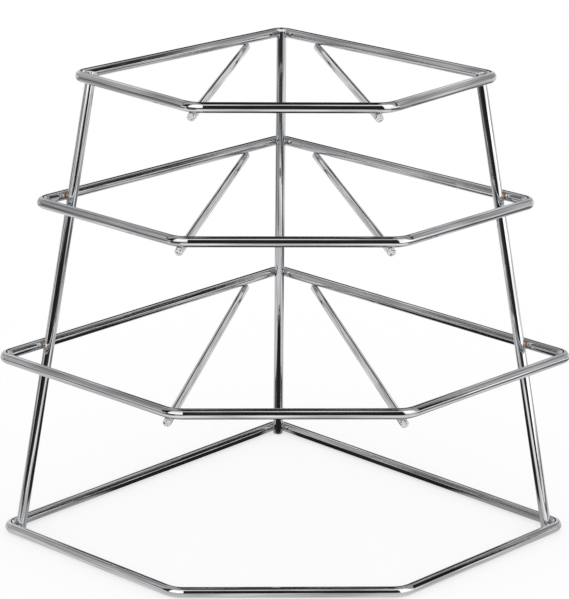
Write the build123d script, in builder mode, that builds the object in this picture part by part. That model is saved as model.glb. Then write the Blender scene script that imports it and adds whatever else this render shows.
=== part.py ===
"""Corner rack with four tiers, welded from round wire.

Four five-sided rings lie one above another. Each has a square rear corner, where its two wall sides
meet, and a straight front edge across the corner opposite. Three legs stand inside the rings, and two
thinner support wires run from front to rear under each ring above the lowest.
"""

import os
from math import cos, radians, sin, sqrt, tan

from build123d import *

# Sizes are in millimetres. The worktop is at z = 0, the rear corner points along +Y, and the origin
# is in the middle of the rack's outline. Rings are measured along the middle of their wire, as if
# their corners were sharp.

# Wires, how far two welded wires sink into each other, and the rounding of a cut end
frame_wire_diameter = 6.5
support_wire_diameter = 5.0
weld_sink = 0.15
cut_end_rounding = 0.5

# Reach of a weld's fillet from the point where two wires touch
frame_weld_radius = 2.3
support_weld_radius = 1.9

# Bend radii of the rings, at the rear and side corners and at the ends of the front edge
corner_bend_radius = 7.0
front_bend_radius = 15.0

# The base ring and the lower ring have the same outline. Reach is from the rear corner to the front.
large_wall_side = 247.5
large_front_width = 136.0
large_reach = 273.5

# The middle ring's side corners stand this far out along the wall from the side legs
middle_overhang = 22.8
middle_front_width = 131.0
middle_reach = 235.0

top_wall_side = 181.5
top_front_width = 115.0
top_reach = 209.0

# Height from one ring to the next
lower_rise = 113.0
middle_rise = 92.0
top_rise = 73.5

# The legs stop short of the base ring's underside and the top ring's upper side
leg_end_clearance = 0.3

# Distance between a tier's two support wires at the front edge and where they cross the wall sides,
# how far both are welded to the left at the front edge, and how far they run on past the middle of
# the ring's wire
lower_support_front_spread = 137.0
middle_support_front_spread = 123.0
top_support_front_spread = 109.0
support_rear_spread = 47.0
support_front_shift = 2.8
support_front_overhang = 2.5
support_rear_overhang = 1.8

# Distance between the middles of two wires that are welded together
leg_to_ring = frame_wire_diameter - weld_sink
support_to_ring = (frame_wire_diameter + support_wire_diameter) / 2 - weld_sink

# Heights of the rings, and the place of the rear corner that all rings share
base_height = frame_wire_diameter / 2
lower_height = base_height + lower_rise
middle_height = lower_height + middle_rise
top_height = middle_height + top_rise
rear_corner_y = (large_reach + corner_bend_radius * (sqrt(2) - 1)) / 2

# A leg that stands in the bend of a corner touches it as if the bend had this radius
nest_radius = max(corner_bend_radius, leg_to_ring)

sides = {"left": -1, "right": 1}


def ring_corners(wall_side, front_width, reach):
    """Return the corners of a ring's outline: rear, left, front left, front right and right."""
    half_width = wall_side / sqrt(2)
    side_y = rear_corner_y - half_width
    front_y = rear_corner_y - reach
    return [
        (0, rear_corner_y),
        (-half_width, side_y),
        (-front_width / 2, front_y),
        (front_width / 2, front_y),
        (half_width, side_y),
    ]


def ring_line(corners, height):
    """Draw the middle line of a ring's wire."""
    radii = [corner_bend_radius] * 2 + [front_bend_radius] * 2 + [corner_bend_radius]
    with BuildLine(Plane.XY.offset(height)) as middle:
        FilletPolyline(*corners, radius=radii, close=True)
    return Wire(middle.line.edges())


def straight_line(start, end, before=0.0, after=0.0):
    """Draw the middle line of a straight wire that runs on before the start and after the end."""
    direction = (end - start).normalized()
    with BuildLine() as middle:
        Line(start - direction * before, end + direction * after)
    return middle.line.edge()


def ring_wire(middle):
    """Bend the frame wire round a ring's middle line."""
    with BuildPart() as ring:
        with BuildSketch(Plane(middle @ 0, z_dir=middle % 0)):
            Circle(frame_wire_diameter / 2)
        sweep(path=middle)
    return ring.part


def straight_wire(middle, diameter):
    """Cut a straight wire to its middle line's length and round its ends."""
    with BuildPart() as wire:
        with BuildSketch(Plane(middle @ 0, z_dir=middle % 0)):
            Circle(diameter / 2)
        extrude(amount=middle.length)
        fillet(wire.edges().filter_by(GeomType.CIRCLE), cut_end_rounding)
    return wire.part


def contact(ring_middle, wire_middle, wire_diameter):
    """Return the point where a wire touches a ring."""
    on_ring, on_wire = ring_middle.closest_points(wire_middle)
    share = frame_wire_diameter / (frame_wire_diameter + wire_diameter)
    return on_ring + (on_wire - on_ring) * share


def weld_fillets(contacts, radius, *wires):
    """Fill the space round each contact with a ball of weld metal, less the wires that it joins."""
    with BuildPart() as welds:
        with Locations(*contacts):
            Sphere(radius)
        for wire in wires:
            add(wire, mode=Mode.SUBTRACT)
    return welds.part


def distance_to_seat(corners):
    """Return how far along the wall a side leg stands from a side corner, where the bend begins."""
    rear, left, front_left, front_right, right = (Vector(corner) for corner in corners)
    corner_angle = (rear - right).get_angle(front_right - right)
    return nest_radius / tan(radians(corner_angle / 2))


def side_leg_point(distance_to_rear, height, side):
    """Return the middle of a side leg at this distance along the wall from the rear corner."""
    along_wall = distance_to_rear / sqrt(2)
    off_wall = leg_to_ring / sqrt(2)
    return Vector(side * (along_wall - off_wall), rear_corner_y - along_wall - off_wall, height)


def leg_line(foot, head):
    """Draw a leg's middle line so that its ends stay inside the height of the rack."""
    lean = radians((head - foot).get_angle(Vector(0, 0, 1)))
    radius = frame_wire_diameter / 2
    overrun = (radius - leg_end_clearance - radius * sin(lean)) / cos(lean)
    return straight_line(foot, head, overrun, overrun)


# Side legs lean inwards from the side corners of the base ring to those of the top ring
large_corners = ring_corners(large_wall_side, large_front_width, large_reach)
top_corners = ring_corners(top_wall_side, top_front_width, top_reach)
foot_distance = large_wall_side - distance_to_seat(large_corners)
head_distance = top_wall_side - distance_to_seat(top_corners)
leg_lines = {}
for name, side in sides.items():
    foot = side_leg_point(foot_distance, base_height, side)
    head = side_leg_point(head_distance, top_height, side)
    leg_lines[f"{name}_leg"] = leg_line(foot, head)

# The rear leg stands upright in the bend of the rear corner
rear_leg_y = rear_corner_y - nest_radius * (sqrt(2) - 1) - leg_to_ring
leg_lines["rear_leg"] = leg_line(Vector(0, rear_leg_y, base_height), Vector(0, rear_leg_y, top_height))

# The middle ring's wall side reaches past the side legs at its own height
middle_share = (middle_height - base_height) / (top_height - base_height)
middle_leg_distance = foot_distance + middle_share * (head_distance - foot_distance)
middle_wall_side = middle_leg_distance + middle_overhang
middle_corners = ring_corners(middle_wall_side, middle_front_width, middle_reach)

ring_lines = {
    "base_ring": ring_line(large_corners, base_height),
    "lower_ring": ring_line(large_corners, lower_height),
    "middle_ring": ring_line(middle_corners, middle_height),
    "top_ring": ring_line(top_corners, top_height),
}
rings = {name: ring_wire(middle) for name, middle in ring_lines.items()}
legs = {name: straight_wire(middle, frame_wire_diameter) for name, middle in leg_lines.items()}

# Each leg is welded to all four rings
leg_welds = {}
for name, middle in leg_lines.items():
    contacts = [contact(ring_middle, middle, frame_wire_diameter) for ring_middle in ring_lines.values()]
    leg_welds[f"{name}_welds"] = weld_fillets(contacts, frame_weld_radius, *rings.values(), legs[name])

# Support wires lie under the upper three rings, each welded to its ring at the front and at the rear
supports = {}
support_welds = {}
front_spreads = {
    "lower": lower_support_front_spread,
    "middle": middle_support_front_spread,
    "top": top_support_front_spread,
}
for tier, front_spread in front_spreads.items():
    ring_middle = ring_lines[f"{tier}_ring"]
    ring_box = ring_middle.bounding_box()
    height = ring_box.min.Z - support_to_ring
    tier_supports = {}
    contacts = []
    for name, side in sides.items():
        front = Vector(side * front_spread / 2 - support_front_shift, ring_box.min.Y, height)
        rear = Vector(side * support_rear_spread / 2, rear_corner_y - support_rear_spread / 2, height)
        centre = (front + rear) / 2
        crossing = ring_middle.closest_points(straight_line(front, centre))[1]
        support = straight_line(crossing, rear, support_front_overhang, support_rear_overhang)
        tier_supports[f"{tier}_{name}_support"] = straight_wire(support, support_wire_diameter)
        for half in (straight_line(front, centre), straight_line(centre, rear)):
            contacts.append(contact(ring_middle, half, support_wire_diameter))
    supports.update(tier_supports)
    wires = [rings[f"{tier}_ring"], *tier_supports.values()]
    support_welds[f"{tier}_support_welds"] = weld_fillets(contacts, support_weld_radius, *wires)

# Each piece is written under its own name
os.makedirs("parts", exist_ok=True)
pieces = {**rings, **legs, **leg_welds, **supports, **support_welds}
for name, piece in pieces.items():
    piece.label = name
    export_step(piece, f"parts/{name}.step")
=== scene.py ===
"""Corner rack of chromed wire on a pale studio floor."""

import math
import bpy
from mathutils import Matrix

bl_info = {
    "name": "Corner rack",
    "version": (1, 0, 0),
    "blender": (4, 5, 0),
    "location": "3D View > Sidebar > Corner rack",
    "description": "Chrome finishes, studio and camera for a four-tier corner rack of welded wire",
    "category": "Object",
}

import bmesh
import bpy
from bpy.props import FloatProperty, FloatVectorProperty, PointerProperty
from mathutils import Matrix, Vector

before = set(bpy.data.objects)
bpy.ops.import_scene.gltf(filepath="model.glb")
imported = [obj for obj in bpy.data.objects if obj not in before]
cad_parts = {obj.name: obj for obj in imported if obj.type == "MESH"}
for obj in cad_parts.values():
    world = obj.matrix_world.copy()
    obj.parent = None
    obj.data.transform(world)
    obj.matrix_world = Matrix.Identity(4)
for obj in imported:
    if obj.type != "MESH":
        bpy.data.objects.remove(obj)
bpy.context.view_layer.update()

RINGS = ("base_ring", "lower_ring", "middle_ring", "top_ring")
LEGS = ("left_leg", "right_leg", "rear_leg")
TIERS = ("lower", "middle", "top")
SIDES = ("left", "right")
SUPPORTS = tuple(f"{tier}_{side}_support" for tier in TIERS for side in SIDES)
WELDS = tuple(f"{leg}_welds" for leg in LEGS) + tuple(f"{tier}_support_welds" for tier in TIERS)

# Only these rings show a heat tint where the side legs are welded on
TINTED_RINGS = ("lower_ring", "middle_ring")

# What lies this close to the end of a straight wire, in metres, belongs to its sawn face
END_FACE_DEPTH = 0.0001


class RackFinishSettings(bpy.types.PropertyGroup):
    """Colours, gloss and surface detail of the plating."""

    plating_color: FloatVectorProperty(
        name="Plating", description="Colour of bright chrome", default=(0.655, 0.66, 0.675), min=0,
        max=1, subtype="COLOR",
    )
    plating_roughness: FloatProperty(
        name="Roughness", description="Roughness of clean plating", default=0.035, min=0, max=1,
        subtype="FACTOR",
    )
    handled_roughness: FloatProperty(
        name="Handled roughness", description="Roughness where hands have dulled the plating",
        default=0.10, min=0, max=1, subtype="FACTOR",
    )
    haze: FloatProperty(
        name="Haze", description="How much the drawing marks darken and lighten the plating",
        default=0.25, min=0, max=1, subtype="FACTOR",
    )
    streak_width: FloatProperty(
        name="Streak width", description="Width of the drawing marks along a wire", default=0.0011,
        min=0.0001, unit="LENGTH",
    )
    streak_length: FloatProperty(
        name="Streak length", description="Length of the drawing marks along a wire", default=0.045,
        min=0.001, unit="LENGTH",
    )
    streak_depth: FloatProperty(
        name="Streak depth", description="Depth of the drawing marks", default=0.000018, min=0,
        unit="LENGTH",
    )
    ripple_size: FloatProperty(
        name="Ripple", description="Size of the ripple in the plating", default=0.0055, min=0.0001,
        unit="LENGTH",
    )
    patch_size: FloatProperty(
        name="Handled patches", description="Size of the patches that hands have dulled", default=0.036,
        min=0.001, unit="LENGTH",
    )
    weld_color: FloatVectorProperty(
        name="Weld metal", description="Colour of plated weld metal", default=(0.50, 0.48, 0.45), min=0,
        max=1, subtype="COLOR",
    )
    weld_roughness: FloatProperty(
        name="Weld roughness", description="Roughness of plated weld metal", default=0.32, min=0, max=1,
        subtype="FACTOR",
    )
    lump_size: FloatProperty(
        name="Weld lumps", description="Size of the lumps in the weld metal", default=0.0011, min=0.0001,
        unit="LENGTH",
    )
    lump_depth: FloatProperty(
        name="Lump depth", description="Depth of the lumps in the weld metal", default=0.00015, min=0,
        unit="LENGTH",
    )
    tint_color: FloatVectorProperty(
        name="Heat tint", description="Brown tint beside a weld", default=(0.52, 0.34, 0.20), min=0,
        max=1, subtype="COLOR",
    )
    tint_reach: FloatProperty(
        name="Tint reach", description="How far a weld's heat tint reaches", default=0.006, min=0,
        unit="LENGTH",
    )
    # The near-white of a sawn end is partly the pale colour of the cut metal and partly a painted sheen
    cut_color_and_sheen: FloatVectorProperty(
        name="Cut end and sheen", description="Colour of a sawn and plated wire end", default=(0.97, 0.97, 0.96),
        min=0, max=1, subtype="COLOR",
    )
    cut_roughness: FloatProperty(
        name="Cut roughness", description="Roughness of a sawn wire end", default=0.5, min=0, max=1,
        subtype="FACTOR",
    )
    pit_color: FloatVectorProperty(
        name="Pits", description="Colour of the pits in a sawn wire end", default=(0.18, 0.18, 0.17),
        min=0, max=1, subtype="COLOR",
    )
    pit_size: FloatProperty(
        name="Pit size", description="Size of the pits in a sawn wire end", default=0.0009, min=0.0001,
        unit="LENGTH",
    )


class RackStageSettings(bpy.types.PropertyGroup):
    """Sizes and levels of the floor, the room and the camera."""

    floor_size: FloatProperty(
        name="Floor size", description="Side of the square floor", default=6.0, min=1.0, unit="LENGTH"
    )
    floor_color: FloatVectorProperty(
        name="Floor", description="Colour of the floor", default=(0.35, 0.35, 0.35), min=0, max=1,
        subtype="COLOR",
    )
    table_width: FloatProperty(
        name="Table width", description="Width of the bright table that the metal reflects",
        default=1.66, min=0.1, unit="LENGTH",
    )
    table_shift: FloatProperty(
        name="Table shift", description="How far the middle of the table lies to the right of the rack",
        default=-0.29, unit="LENGTH",
    )
    table_depth: FloatProperty(
        name="Table depth", description="Depth of the bright table that the metal reflects",
        default=1.4, min=0.1, unit="LENGTH",
    )
    table_side_level: FloatProperty(
        name="Table sides", description="Brightness of the table beside the rack", default=0.74, min=0
    )
    table_front_level: FloatProperty(
        name="Table front", description="Brightness of the table before the rack", default=0.95, min=0
    )
    table_near_level: FloatProperty(
        name="Table near", description="Brightness of the table close to the rack", default=0.66, min=0
    )
    table_far_level: FloatProperty(
        name="Table far left", description="Brightness of the table's far left side", default=0.30, min=0
    )
    table_right_level: FloatProperty(
        name="Table far right", description="Brightness of the table's far right and front left",
        default=0.16, min=0,
    )
    floor_bright_level: FloatProperty(
        name="Floor rear", description="Brightness of the floor past the table, at the rear and right",
        default=0.8, min=0,
    )
    floor_side_level: FloatProperty(
        name="Floor sides", description="Brightness of the floor past the table, at the sides",
        default=0.12, min=0,
    )
    floor_front_level: FloatProperty(
        name="Floor front", description="Brightness of the floor past the table, at the front",
        default=0.04, min=0,
    )
    rack_shade_level: FloatProperty(
        name="Rack's shade", description="Brightness of the floor inside the base ring", default=0.4,
        min=0,
    )
    room_light: FloatProperty(
        name="Room light", description="Even light of the room", default=1.0, min=0
    )
    side_level: FloatProperty(
        name="Side walls", description="Brightness of the room's sides as the metal reflects them",
        default=0.46, min=0,
    )
    dark_level: FloatProperty(
        name="Dark parts", description="Brightness of the darkest parts of the room and the floor",
        default=0.02, min=0,
    )
    shade_level: FloatProperty(
        name="Arcs of shade", description="Brightness of the room's arcs of shade", default=0.02, min=0
    )
    rear_level: FloatProperty(
        name="Rear wall", description="Brightness of the wall behind the rack as the metal reflects it",
        default=0.74, min=0,
    )
    camera_place: FloatVectorProperty(
        name="Camera place", description="Where the camera stands", default=(-0.0423, -1.4559, 0.6253),
        unit="LENGTH", subtype="TRANSLATION",
    )
    camera_turn: FloatProperty(
        name="Camera turn", description="Turn to the right from straight ahead",
        default=math.radians(1.66), subtype="ANGLE",
    )
    camera_tilt: FloatProperty(
        name="Camera tilt", description="Tilt down from level", default=math.radians(18.40),
        subtype="ANGLE",
    )
    camera_roll: FloatProperty(
        name="Camera roll", description="Roll about the line of sight", default=math.radians(0.54),
        subtype="ANGLE",
    )
    lens: FloatProperty(
        name="Lens", description="Focal length on a 36 mm wide sensor, in millimetres", default=155.0
    )


def add_node(tree, kind, **values):
    """Add a node and set its properties."""
    node = tree.nodes.new(kind)
    for name, value in values.items():
        setattr(node, name, value)
    return node


def feed(tree, socket, value):
    """Link an output to a socket, or write a constant there."""
    if isinstance(value, bpy.types.NodeSocket):
        tree.links.new(value, socket)
    else:
        socket.default_value = value


def new_material(name):
    """Start a material and return it with its nodes, its shader and the place on the piece."""
    material = bpy.data.materials.new(name)
    material.use_nodes = True
    tree = material.node_tree
    place = add_node(tree, "ShaderNodeTexCoord").outputs["Object"]
    return material, tree, tree.nodes["Principled BSDF"], place


def arithmetic(tree, operation, *values):
    """Add a Math node and return its output."""
    node = add_node(tree, "ShaderNodeMath", operation=operation)
    for socket, value in zip(node.inputs, values):
        feed(tree, socket, value)
    return node.outputs[0]


def vector_arithmetic(tree, operation, *values):
    """Add a Vector Math node and return the node."""
    node = add_node(tree, "ShaderNodeVectorMath", operation=operation)
    for socket, value in zip(node.inputs, values):
        feed(tree, socket, value)
    return node


def part_along(tree, vector, way):
    """Return how far a vector reaches along a way."""
    return vector_arithmetic(tree, "DOT_PRODUCT", vector, way).outputs["Value"]


def rise(tree, value, low, high):
    """Return a mask that rises smoothly from 0 at low to 1 at high."""
    node = add_node(tree, "ShaderNodeMapRange", interpolation_type="SMOOTHSTEP")
    feed(tree, node.inputs["Value"], value)
    if low < high:
        limits = (low, high, 0.0, 1.0)
    else:
        limits = (high, low, 1.0, 0.0)
    for name, limit in zip(("From Min", "From Max", "To Min", "To Max"), limits):
        node.inputs[name].default_value = limit
    return node.outputs["Result"]


def band(tree, value, low, high, softness):
    """Return a mask that is 1 between low and high and falls to 0 over the softness."""
    up = rise(tree, value, low - softness / 2, low + softness / 2)
    down = rise(tree, value, high + softness / 2, high - softness / 2)
    return arithmetic(tree, "MULTIPLY", up, down)


def shared_part(tree, *masks):
    """Return the part where all the masks lie over one another."""
    shared = masks[0]
    for mask in masks[1:]:
        shared = arithmetic(tree, "MULTIPLY", shared, mask)
    return shared


def zone(tree, *edges):
    """Return the part inside some soft edges, each a value with its outer and its inner limit."""
    return shared_part(tree, *(rise(tree, *edge) for edge in edges))


def noise(tree, place, scale, detail, roughness=0.5):
    """Add a noise texture and return its value."""
    node = add_node(tree, "ShaderNodeTexNoise")
    feed(tree, node.inputs["Vector"], place)
    node.inputs["Scale"].default_value = scale
    node.inputs["Detail"].default_value = detail
    node.inputs["Roughness"].default_value = roughness
    return node.outputs["Fac"]


def blend_values(tree, mask, first, second):
    """Mix two values by a mask."""
    node = add_node(tree, "ShaderNodeMix", data_type="FLOAT")
    feed(tree, node.inputs["Factor"], mask)
    feed(tree, node.inputs["A"], first)
    feed(tree, node.inputs["B"], second)
    return node.outputs["Result"]


def blend_colors(tree, mask, first, second):
    """Mix two colours by a mask."""
    node = add_node(tree, "ShaderNodeMix", data_type="RGBA")
    sockets = [socket for socket in node.inputs if socket.type == "RGBA"]
    feed(tree, node.inputs["Factor"], mask)
    feed(tree, sockets[0], first)
    feed(tree, sockets[1], second)
    return next(socket for socket in node.outputs if socket.type == "RGBA")


def new_group(name, inputs, outputs):
    """Start a node group with named sockets and return it with its two end nodes."""
    group = bpy.data.node_groups.new(name, "ShaderNodeTree")
    for socket_name, kind, default in inputs:
        socket = group.interface.new_socket(socket_name, in_out="INPUT", socket_type=kind)
        if default is not None:
            socket.default_value = default
    for socket_name, kind in outputs:
        group.interface.new_socket(socket_name, in_out="OUTPUT", socket_type=kind)
    return group, group.nodes.new("NodeGroupInput"), group.nodes.new("NodeGroupOutput")


def shared_group(name, build, settings):
    """Return the node group of this name, which is built at its first use."""
    return bpy.data.node_groups.get(name) or build(name, settings)


def place_group(tree, group, **values):
    """Place a node group in a tree, with its inputs given by name."""
    node = add_node(tree, "ShaderNodeGroup", node_tree=group)
    for name, value in values.items():
        feed(tree, node.inputs[name.replace("_", " ").capitalize()], value)
    return node


def drawn_wire_group(name, settings):
    """Build the marks of the drawing die, the ripple of the plating and the dull handled patches."""
    group, start, end = new_group(
        name,
        [("Place", "NodeSocketVector", None), ("Object place", "NodeSocketVector", None)],
        [("Relief", "NodeSocketFloat"), ("Handled", "NodeSocketFloat"), ("Haze", "NodeSocketFloat")],
    )
    streaks = noise(group, start.outputs["Place"], 1.0, 3.0, 0.45)
    ripple = noise(group, start.outputs["Object place"], 1 / settings.ripple_size, 1.0)
    patches = noise(group, start.outputs["Object place"], 1 / settings.patch_size, 4.0, 0.6)
    feed(group, end.inputs["Relief"], arithmetic(group, "MULTIPLY_ADD", ripple, 0.6, streaks))

    # Noise lies around 0.5, so these limits say how much of a wire is dulled and how much is hazy
    feed(group, end.inputs["Handled"], rise(group, patches, 0.48, 0.72))
    feed(group, end.inputs["Haze"], rise(group, streaks, 0.36, 0.64))
    return group


def heat_tint_group(name, settings):
    """Build the ring of brown and straw that a weld's heat leaves on the wire beside it."""
    group, start, end = new_group(
        name,
        [
            ("Distance", "NodeSocketFloat", 1.0),
            ("Reach", "NodeSocketFloat", settings.tint_reach),
            ("Object place", "NodeSocketVector", None),
            ("Plating", "NodeSocketColor", (*settings.plating_color, 1)),
            ("Tint", "NodeSocketColor", (*settings.tint_color, 1)),
        ],
        [("Color", "NodeSocketColor"), ("Dulled", "NodeSocketFloat")],
    )
    ragged = noise(group, start.outputs["Object place"], 3 / settings.tint_reach, 2.0)
    share = arithmetic(group, "DIVIDE", start.outputs["Distance"], start.outputs["Reach"])
    wobble = arithmetic(group, "MULTIPLY_ADD", ragged, 0.7, share)

    # The straw colour reaches further from the weld than the brown
    straw = rise(group, wobble, 1.25, 0.80)
    brown = rise(group, wobble, 0.95, 0.55)
    straw_color = blend_colors(group, 0.45, start.outputs["Plating"], start.outputs["Tint"])
    tinted = blend_colors(group, straw, start.outputs["Plating"], straw_color)
    tinted = blend_colors(group, brown, tinted, start.outputs["Tint"])
    feed(group, end.inputs["Color"], tinted)
    feed(group, end.inputs["Dulled"], straw)
    return group


def middle_of(points):
    """Return the mean of some points."""
    return sum(points, Vector()) / len(points)


def wire_ends(node, way):
    """Return the middles of a straight wire's two end faces, in order along the way given."""
    points = sorted((vertex.co for vertex in node.data.vertices), key=way.dot)
    first = [point for point in points if way.dot(point - points[0]) < END_FACE_DEPTH]
    last = [point for point in points if way.dot(points[-1] - point) < END_FACE_DEPTH]
    return middle_of(first), middle_of(last)


def weld_place(welds, ring):
    """Return the middle of the weld metal that lies at a ring's height."""
    heights = [corner[2] for corner in ring.bound_box]
    low, high = min(heights), max(heights)
    return middle_of([vertex.co for vertex in welds.data.vertices if low < vertex.co.z < high])


def nearest_distance(tree, place, points):
    """Return the distance to the nearest of some points."""
    distances = [vector_arithmetic(tree, "DISTANCE", place, point).outputs["Value"] for point in points]
    nearest = distances[0]
    for distance in distances[1:]:
        nearest = arithmetic(tree, "MINIMUM", nearest, distance)
    return nearest


def wire_material(name, settings, turn, grain, tint_places, ends=None):
    """Make the plating of one wire, with its marks laid along the wire.

    The turn and the grain are the rotation and the size of the marks. A straight wire's two ends
    give it sawn end faces.
    """
    material, tree, shader, place = new_material(name)
    along_wire = add_node(tree, "ShaderNodeMapping", vector_type="TEXTURE")
    along_wire.inputs["Rotation"].default_value = turn
    along_wire.inputs["Scale"].default_value = grain
    feed(tree, along_wire.inputs["Vector"], place)
    surface = place_group(
        tree,
        shared_group("drawn wire", drawn_wire_group, settings),
        place=along_wire.outputs["Vector"],
        object_place=place,
    )
    hazy_color = [(1 - settings.haze) * channel for channel in settings.plating_color]
    clear_color = [(1 + settings.haze) * channel for channel in settings.plating_color]
    color = blend_colors(tree, surface.outputs["Haze"], (*clear_color, 1), (*hazy_color, 1))
    roughness = blend_values(
        tree, surface.outputs["Handled"], settings.plating_roughness, settings.handled_roughness
    )
    if tint_places:
        tint = place_group(
            tree,
            shared_group("heat tint", heat_tint_group, settings),
            distance=nearest_distance(tree, place, tint_places),
            reach=settings.tint_reach,
            object_place=place,
            plating=color,
            tint=(*settings.tint_color, 1),
        )
        color = tint.outputs["Color"]
        roughness = blend_values(tree, tint.outputs["Dulled"], roughness, settings.weld_roughness)
    metallic = 1.0
    if ends:
        sawn = sawn_mask(tree, place, *ends)
        pitted = rise(tree, noise(tree, place, 1 / settings.pit_size, 2.0), 0.53, 0.62)
        # The sawn end faces get a near-white colour with dark pits; the colour is partly the cut metal
        # and partly a painted sheen
        cut_color_and_sheen = blend_colors(tree, pitted, (*settings.cut_color_and_sheen, 1), (*settings.pit_color, 1))
        color = blend_colors(tree, sawn, color, cut_color_and_sheen)
        roughness = blend_values(tree, sawn, roughness, settings.cut_roughness)
        metallic = blend_values(tree, sawn, 1.0, 0.0)
    feed(tree, shader.inputs["Base Color"], color)
    feed(tree, shader.inputs["Roughness"], roughness)
    feed(tree, shader.inputs["Metallic"], metallic)

    relief = add_node(tree, "ShaderNodeBump")
    relief.inputs["Strength"].default_value = 1.0
    relief.inputs["Distance"].default_value = settings.streak_depth
    feed(tree, relief.inputs["Height"], surface.outputs["Relief"])
    feed(tree, shader.inputs["Normal"], relief.outputs["Normal"])
    return material


def sawn_mask(tree, place, first, last):
    """Return a mask that covers the flat end faces of a straight wire."""
    way = (last - first).normalized()
    length = (last - first).length
    offset = vector_arithmetic(tree, "SUBTRACT", place, first).outputs["Vector"]
    along = part_along(tree, offset, way)
    inside = band(tree, along, END_FACE_DEPTH, length - END_FACE_DEPTH, END_FACE_DEPTH)
    return arithmetic(tree, "SUBTRACT", 1.0, inside)


def weld_material(settings):
    """Make the dull, lumpy plating over weld metal."""
    material, tree, shader, place = new_material("plated weld metal")
    lumps = noise(tree, place, 1 / settings.lump_size, 3.0)
    bright = rise(tree, lumps, 0.45, 0.65)
    color = blend_colors(tree, bright, (*settings.weld_color, 1), (*settings.plating_color, 1))
    feed(tree, shader.inputs["Base Color"], color)
    shader.inputs["Metallic"].default_value = 1.0
    roughness = blend_values(tree, bright, settings.weld_roughness, settings.handled_roughness)
    feed(tree, shader.inputs["Roughness"], roughness)
    relief = add_node(tree, "ShaderNodeBump")
    relief.inputs["Distance"].default_value = settings.lump_depth
    feed(tree, relief.inputs["Height"], lumps)
    feed(tree, shader.inputs["Normal"], relief.outputs["Normal"])
    return material


def assign(node, material):
    """Give a carried-over node one material."""
    node.data.materials.clear()
    node.data.materials.append(material)


class RACK_OT_rings(bpy.types.Operator):
    """Plate the four rings with chrome"""

    bl_idname = "rack.rings"
    bl_label = "Rings"

    def execute(self, context):
        settings = context.scene.rack_finish
        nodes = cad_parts
        grain = (settings.streak_length, settings.streak_length, settings.streak_width)
        for name in RINGS:
            tint_places = []
            if name in TINTED_RINGS:
                tint_places = [weld_place(nodes[f"{side}_leg_welds"], nodes[name]) for side in SIDES]
            label = name.replace("_", " ")
            chrome = wire_material(f"{label} chrome", settings, (0, 0, 0), grain, tint_places)
            assign(nodes[name], chrome)
        return {"FINISHED"}


class RACK_OT_straight_wires(bpy.types.Operator):
    """Plate the three legs and the six support wires with chrome"""

    bl_idname = "rack.straight_wires"
    bl_label = "Legs and support wires"

    def execute(self, context):
        settings = context.scene.rack_finish
        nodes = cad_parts
        grain = (settings.streak_width, settings.streak_width, settings.streak_length)
        for name in LEGS + SUPPORTS:
            way = Vector((0, 0, 1)) if name in LEGS else Vector((0, 1, 0))
            ends = wire_ends(nodes[name], way)
            turn = (ends[1] - ends[0]).to_track_quat("Z", "Y").to_euler()
            tint_places = []
            if name in LEGS and name != "rear_leg":
                tint_places = [weld_place(nodes[f"{name}_welds"], nodes[ring]) for ring in TINTED_RINGS]
            label = name.replace("_", " ")
            chrome = wire_material(f"{label} chrome", settings, turn, grain, tint_places, ends)
            assign(nodes[name], chrome)
        return {"FINISHED"}


class RACK_OT_welds(bpy.types.Operator):
    """Give the welds their dull, lumpy plating"""

    bl_idname = "rack.welds"
    bl_label = "Welds"

    def execute(self, context):
        material = weld_material(context.scene.rack_finish)
        for name in WELDS:
            assign(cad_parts[name], material)
        return {"FINISHED"}


def table_level(tree, settings, near, rightness, rearness):
    """Return the brightness of the table that the metal reflects, brightest at the front."""
    to_front = rise(tree, rearness, 0.2, -0.7)
    level = blend_values(tree, to_front, settings.table_side_level, settings.table_front_level)
    level = blend_values(tree, rise(tree, near, 0.30, 0.18), level, settings.table_near_level)

    # It is duller at the far left, the far right and the front left
    far_left = zone(tree, (near, 0.42, 0.56), (rightness, -0.5, -0.7), (rearness, -0.45, -0.25))
    far_right = zone(tree, (near, 0.28, 0.38), (rightness, 0.5, 0.7), (rearness, -0.55, -0.42))
    front_left = zone(tree, (near, 0.34, 0.42), (rightness, -0.35, -0.5), (rearness, -0.93, -0.83))
    front_left = shared_part(tree, front_left, rise(tree, rearness, -0.40, -0.50))
    level = blend_values(tree, far_left, level, settings.table_far_level)
    level = blend_values(tree, far_right, level, settings.table_right_level)
    return blend_values(tree, front_left, level, settings.table_right_level)


def beyond_level(tree, settings, near, rightness, rearness):
    """Return the brightness of the floor past the table: dark, but for the rear and the far right."""
    bright = settings.floor_bright_level
    level = blend_values(tree, rise(tree, rearness, 0.30, 0.0), bright, settings.floor_side_level)
    level = blend_values(tree, rise(tree, rearness, -0.20, -0.35), level, settings.floor_front_level)
    far_right = zone(tree, (rightness, 0.5, 0.7), (near, 0.68, 0.82))
    return blend_values(tree, far_right, level, bright)


def add_rack_shade(tree, settings, x, y, level):
    """Darken a brightness inside the base ring, and more so in the middle."""
    # Lines along the inside of the base ring. Its wall sides meet at the first distance behind the middle
    # of the rack, its slanting edges point at the second distance beside it, and the third is the front.
    wall_line, slant_line, front_line = 0.138, 0.209, -0.131
    sideways = arithmetic(tree, "ABSOLUTE", x)
    to_wall = arithmetic(tree, "ADD", sideways, y)
    to_slant = arithmetic(tree, "MULTIPLY_ADD", y, -1.09, sideways)
    inside = zone(
        tree,
        (to_wall, wall_line + 0.003, wall_line - 0.003),
        (to_slant, slant_line + 0.003, slant_line - 0.003),
        (y, front_line - 0.002, front_line + 0.002),
    )
    core = zone(
        tree,
        (sideways, 0.125, 0.105),
        (to_slant, slant_line - 0.007, slant_line - 0.017),
        (y, front_line - 0.004, front_line + 0.004),
        (y, 0.129, 0.121),
    )
    level = blend_values(tree, inside, level, settings.rack_shade_level)
    return blend_values(tree, core, level, settings.dark_level)


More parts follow.
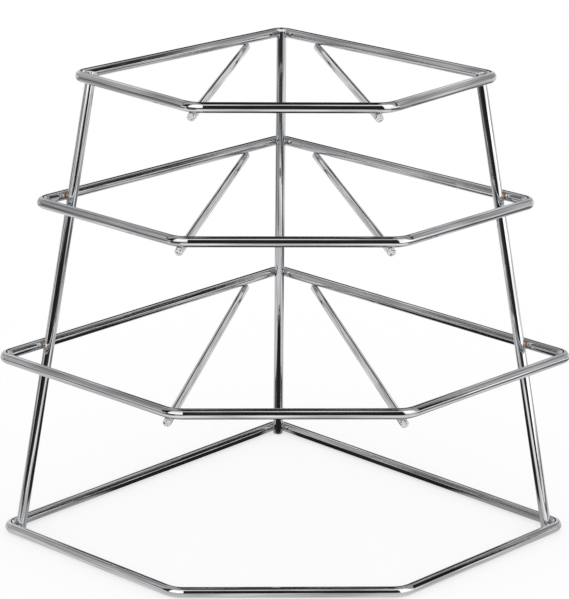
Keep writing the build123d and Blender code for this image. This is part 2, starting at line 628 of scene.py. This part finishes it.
def floor_material(settings):
    """Make the pale floor, which is white to the camera outside the rack's shadow."""
    material, tree, paper, place = new_material("floor")
    paper.inputs["Base Color"].default_value = (*settings.floor_color, 1)
    paper.inputs["Roughness"].default_value = 1.0
    paper.inputs["Specular IOR Level"].default_value = 0.0
    rays = add_node(tree, "ShaderNodeLightPath")
    paper.inputs["Emission Color"].default_value = (1, 1, 1, 1)
    lift = arithmetic(tree, "MULTIPLY", rays.outputs["Is Camera Ray"], 1.0 - settings.floor_color[0])
    feed(tree, paper.inputs["Emission Strength"], lift)

    # Where a point of the floor lies: how near the middle of the rack, in metres, and how much to the
    # right and to the rear, from -1 to 1
    parts = add_node(tree, "ShaderNodeSeparateXYZ")
    feed(tree, parts.inputs["Vector"], place)
    x, y = parts.outputs["X"], parts.outputs["Y"]
    near = vector_arithmetic(tree, "LENGTH", place).outputs["Value"]
    rightness = arithmetic(tree, "DIVIDE", x, near)
    rearness = arithmetic(tree, "DIVIDE", y, near)

    # What only the metal sees: an oval table on a floor with dark parts, and the rack's own shade
    table = table_level(tree, settings, near, rightness, rearness)
    beyond = beyond_level(tree, settings, near, rightness, rearness)
    centred = vector_arithmetic(tree, "SUBTRACT", place, (settings.table_shift, 0, 0)).outputs["Vector"]
    half_table = (settings.table_width / 2, settings.table_depth / 2, 1)
    reach = vector_arithmetic(tree, "DIVIDE", centred, half_table).outputs["Vector"]
    reach = vector_arithmetic(tree, "LENGTH", reach).outputs["Value"]
    level = blend_values(tree, rise(tree, reach, 1.1, 0.9), beyond, table)
    level = add_rack_shade(tree, settings, x, y, level)
    reflected = add_node(tree, "ShaderNodeEmission")
    feed(tree, reflected.inputs["Strength"], level)
    either = add_node(tree, "ShaderNodeMixShader")
    feed(tree, either.inputs[0], rays.outputs["Is Glossy Ray"])
    feed(tree, either.inputs[1], paper.outputs["BSDF"])
    feed(tree, either.inputs[2], reflected.outputs["Emission"])
    feed(tree, tree.nodes["Material Output"].inputs["Surface"], either.outputs["Shader"])
    return material


def room_world(settings):
    """Make the room: white to the camera, even light for the floor, and lit walls in the metal."""
    world = bpy.data.worlds.new("studio room")
    world.use_nodes = True
    tree = world.node_tree
    background = tree.nodes["Background"]
    rays = add_node(tree, "ShaderNodeLightPath")
    direction = add_node(tree, "ShaderNodeTexCoord").outputs["Generated"]
    parts = add_node(tree, "ShaderNodeSeparateXYZ")
    feed(tree, parts.inputs["Vector"], direction)
    x, y, z = parts.outputs["X"], parts.outputs["Y"], parts.outputs["Z"]
    height = arithmetic(tree, "MULTIPLY", arithmetic(tree, "ARCSINE", z), math.degrees(1))

    # The turn is measured from the camera's side: positive to the right, negative to the left
    turn = arithmetic(tree, "ARCTAN2", x, arithmetic(tree, "MULTIPLY", y, -1.0))
    turn = arithmetic(tree, "MULTIPLY", turn, math.degrees(1))
    away = arithmetic(tree, "ABSOLUTE", turn)

    # Each patch of light or shade lies between two turns and two heights, in degrees, over those before
    dark, bright, shade = settings.dark_level, settings.rear_level, settings.shade_level
    turn_softness, height_softness, along_softness = 6, 4, 0.02
    patches = (
        ("dull rear corners", away, (112, 146), (41, 60), 0.3),
        ("foot of the rear wall", away, (110, 190), (-90, 9), bright),
        ("middle of the rear wall", away, (149, 190), (-90, 51), bright),
        ("dark room behind the camera", turn, (-81, 34), (-90, 56), dark),
        ("skirting of the left wall", turn, (-104, -86), (-90, 4.5), 0.12),
        ("ceiling", away, (-10, 190), (78, 95), dark),
        ("lights over the front", away, (14, 60), (58, 78), 0.9),
        ("light to the left of the camera", turn, (-56, -6), (6, 60), 1.3),
        ("low light to the left", turn, (-86, -62), (-90, 7), 0.7),
        ("light to the right of the camera", turn, (30, 72), (-90, 60), 1.6),
        ("low light to the right", turn, (38, 90), (-90, 7), 1.6),
    )
    level = settings.side_level
    for name, across, turns, heights, patch_level in patches:
        at_turns = band(tree, across, *turns, turn_softness)
        at_heights = band(tree, height, *heights, height_softness)
        level = blend_values(tree, shared_part(tree, at_turns, at_heights), level, patch_level)
        level.node.label = name

    # Straight wires of one direction mirror one arc of the room, where the part of a direction that lies
    # along the wires hardly changes. Each arc also has two limits for that part.
    left_wall = part_along(tree, direction, (0.707, 0.707, 0))
    right_wall = part_along(tree, direction, (-0.707, 0.707, 0))
    left_slant = part_along(tree, direction, (-0.737, 0.675, 0))
    right_slant = part_along(tree, direction, (0.737, 0.675, 0))
    arcs = (
        ("shade for the front edges", x, (-0.07, 0.12), away, (90, 190), (9, 84), shade),
        ("light for the front edges", x, (-0.07, 0.12), away, (-10, 90), (58, 76), 0.8),
        ("shade for the left wall side", left_wall, (0.575, 0.679), turn, (60, 125), (6, 47), shade),
        ("shade for the right wall side", right_wall, (0.545, 0.602), turn, (-125, -60), (8, 47), 0.12),
        ("shade for the left slant", left_slant, (0.60, 0.664), turn, (-190, -152), (16, 42), shade),
        ("shade for the right slant", right_slant, (0.60, 0.702), turn, (152, 190), (16, 42), shade),
    )
    for name, along, limits, across, turns, heights, arc_level in arcs:
        on_arc = band(tree, along, *limits, along_softness)
        at_turns = band(tree, across, *turns, turn_softness)
        at_heights = band(tree, height, *heights, height_softness)
        level = blend_values(tree, shared_part(tree, on_arc, at_turns, at_heights), level, arc_level)
        level.node.label = name

    # The walls are a little uneven
    uneven = noise(tree, direction, 5.0, 3.0)
    level = arithmetic(tree, "MULTIPLY", level, arithmetic(tree, "MULTIPLY_ADD", uneven, 0.9, 0.55))
    level = blend_values(tree, rays.outputs["Is Glossy Ray"], settings.room_light, level)
    level = blend_values(tree, rays.outputs["Is Camera Ray"], level, 1.0)
    feed(tree, background.inputs["Strength"], level)
    background.inputs["Color"].default_value = (1, 1, 1, 1)
    return world


class RACK_OT_stage(bpy.types.Operator):
    """Add the floor, the room and the camera"""

    bl_idname = "rack.stage"
    bl_label = "Stage"

    def execute(self, context):
        settings = context.scene.rack_stage
        mesh = bpy.data.meshes.new("floor")
        floor_mesh = bmesh.new()
        bmesh.ops.create_grid(floor_mesh, x_segments=1, y_segments=1, size=settings.floor_size / 2)
        floor_mesh.to_mesh(mesh)
        floor_mesh.free()
        mesh.materials.append(floor_material(settings))
        floor = bpy.data.objects.new("floor", mesh)
        context.scene.collection.objects.link(floor)
        context.scene.world = room_world(settings)

        data = bpy.data.cameras.new("camera")
        data.sensor_fit = "HORIZONTAL"
        data.sensor_width = 36
        data.lens = settings.lens
        camera = bpy.data.objects.new("camera", data)
        camera.matrix_world = (
            Matrix.Translation(settings.camera_place)
            @ Matrix.Rotation(-settings.camera_turn, 4, "Z")
            @ Matrix.Rotation(math.pi / 2 - settings.camera_tilt, 4, "X")
            @ Matrix.Rotation(settings.camera_roll, 4, "Z")
        )
        context.scene.collection.objects.link(camera)
        context.scene.camera = camera
        context.scene.view_settings.view_transform = "Standard"
        return {"FINISHED"}


class RACK_PT_panel(bpy.types.Panel):
    """Lists the rack's operators and settings in the sidebar."""

    bl_idname = "RACK_PT_panel"
    bl_label = "Corner rack"
    bl_space_type = "VIEW_3D"
    bl_region_type = "UI"
    bl_category = "Corner rack"

    def draw(self, context):
        for operator in OPERATORS:
            self.layout.operator(operator.bl_idname)
        for settings in (context.scene.rack_finish, context.scene.rack_stage):
            for name in type(settings).__annotations__:
                self.layout.prop(settings, name)


OPERATORS = (RACK_OT_rings, RACK_OT_straight_wires, RACK_OT_welds, RACK_OT_stage)
CLASSES = (RackStageSettings, RackFinishSettings, *OPERATORS, RACK_PT_panel)


def register():
    """Add the rack's classes and settings."""
    for cls in CLASSES:
        bpy.utils.register_class(cls)
    bpy.types.Scene.rack_stage = PointerProperty(type=RackStageSettings)
    bpy.types.Scene.rack_finish = PointerProperty(type=RackFinishSettings)


def unregister():
    """Take the rack's settings and classes out again."""
    del bpy.types.Scene.rack_finish
    del bpy.types.Scene.rack_stage
    for cls in reversed(CLASSES):
        bpy.utils.unregister_class(cls)


def main():
    """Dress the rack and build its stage."""
    register()
    bpy.ops.rack.rings()
    bpy.ops.rack.straight_wires()
    bpy.ops.rack.welds()
    bpy.ops.rack.stage()


if __name__ == "__main__":
    main()
